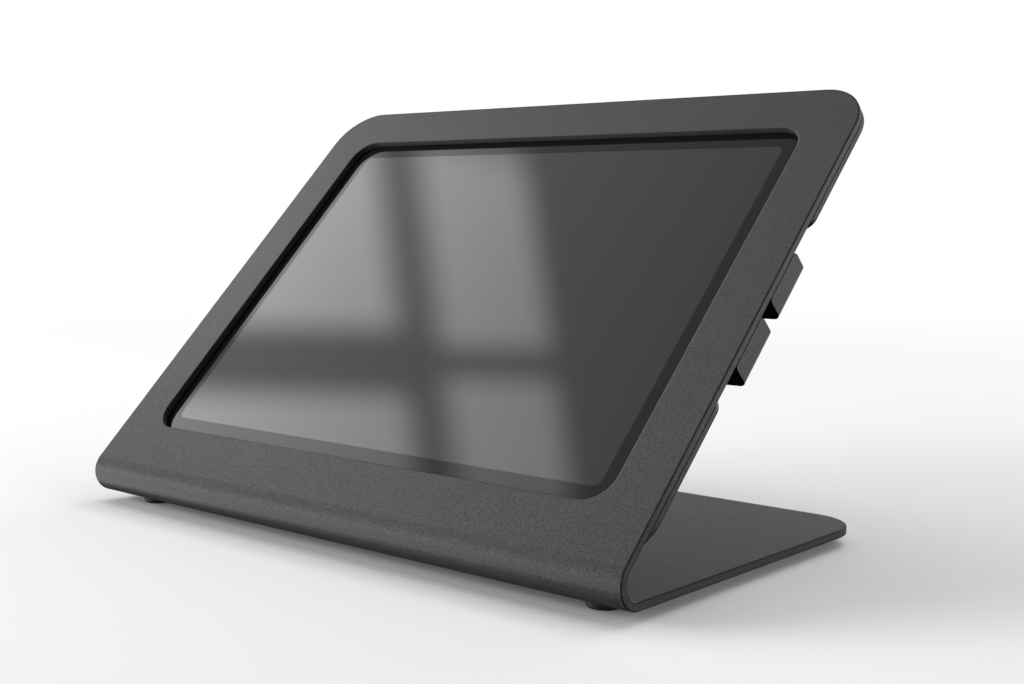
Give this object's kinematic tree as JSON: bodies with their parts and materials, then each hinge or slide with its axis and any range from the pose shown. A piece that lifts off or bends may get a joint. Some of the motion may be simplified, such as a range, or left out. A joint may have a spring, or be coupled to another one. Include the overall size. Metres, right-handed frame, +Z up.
{
  "type": "touchscreen kiosk",
  "caption": "Tabletop touchscreen kiosk: a tablet behind the window of a folded steel stand, leaning back at 45 degrees, with a screwed rear cover and rubber feet.",
  "frame": {"origin": "on the counter, at the middle of the kiosk's footprint", "axes": "+X to the viewer's right along the screen's long side, +Y away from the viewer, +Z up"},
  "size_m": [0.2844, 0.1591, 0.1722],
  "materials": {
    "powder_coat": "fine-textured dark grey powder coat",
    "hardware_steel": "plain stainless steel",
    "rubber": "matt black rubber",
    "foam": "open-cell grey foam",
    "felt": "thin black felt tape",
    "tape": "white double-sided adhesive tape",
    "glass": "polished cover glass with a black printed border",
    "display": "dark display cell, switched off",
    "backlight": "white reflector and light guide",
    "tablet_shell": "bead-blasted anodised aluminium, dark grey",
    "tablet_button": "anodised aluminium, dark grey",
    "battery": "black laminated pouch",
    "circuit_board": "solder-masked board",
    "shield_metal": "tinned steel can",
    "ribbon": "amber polyimide ribbon",
    "speaker_plastic": "black moulded plastic",
    "camera_body": "black moulded plastic",
    "lens_glass": "dark coated lens glass"
  },
  "bodies": {
    "kiosk": {"stand_frame": "powder_coat", "spacer_frame": "powder_coat", "standoffs": "hardware_steel", "window_gasket": "felt", "foot_front_left": "rubber", "foot_front_right": "rubber", "foot_rear_left": "rubber", "foot_rear_right": "rubber", "foot_adhesive_discs": "tape", "cover_glass": "glass", "display_panel": "display", "backlight_unit": "backlight", "tablet_housing": "tablet_shell", "button_switches": "shield_metal", "battery_left": "battery", "battery_right": "battery", "logic_board": "circuit_board", "board_shield": "shield_metal", "board_screws": "hardware_steel", "display_flex": "ribbon", "speakers": "speaker_plastic", "charge_port": "shield_metal", "front_camera": "camera_body", "rear_camera": "camera_body", "camera_window": "lens_glass"},
    "cover": {"rear_cover": "powder_coat", "cover_screws": "hardware_steel", "foam_pads": "foam"},
    "power_button": {"power_button": "tablet_button"},
    "volume_up": {"volume_up_button": "tablet_button"},
    "volume_down": {"volume_down_button": "tablet_button"}
  },
  "joints": [
    {"name": "cover_lift", "type": "slide", "parent": "kiosk", "child": "cover", "axis": [0, 0.7071, -0.7071], "range_m": [0, 0.016]},
    {"name": "power_press", "type": "slide", "parent": "kiosk", "child": "power_button", "axis": [1, 0, 0], "range_m": [0, 0.00025]},
    {"name": "volume_up_press", "type": "slide", "parent": "kiosk", "child": "volume_up", "axis": [0, -0.7071, -0.7071], "range_m": [0, 0.00025]},
    {"name": "volume_down_press", "type": "slide", "parent": "kiosk", "child": "volume_down", "axis": [0, -0.7071, -0.7071], "range_m": [0, 0.00025]}
  ]
}
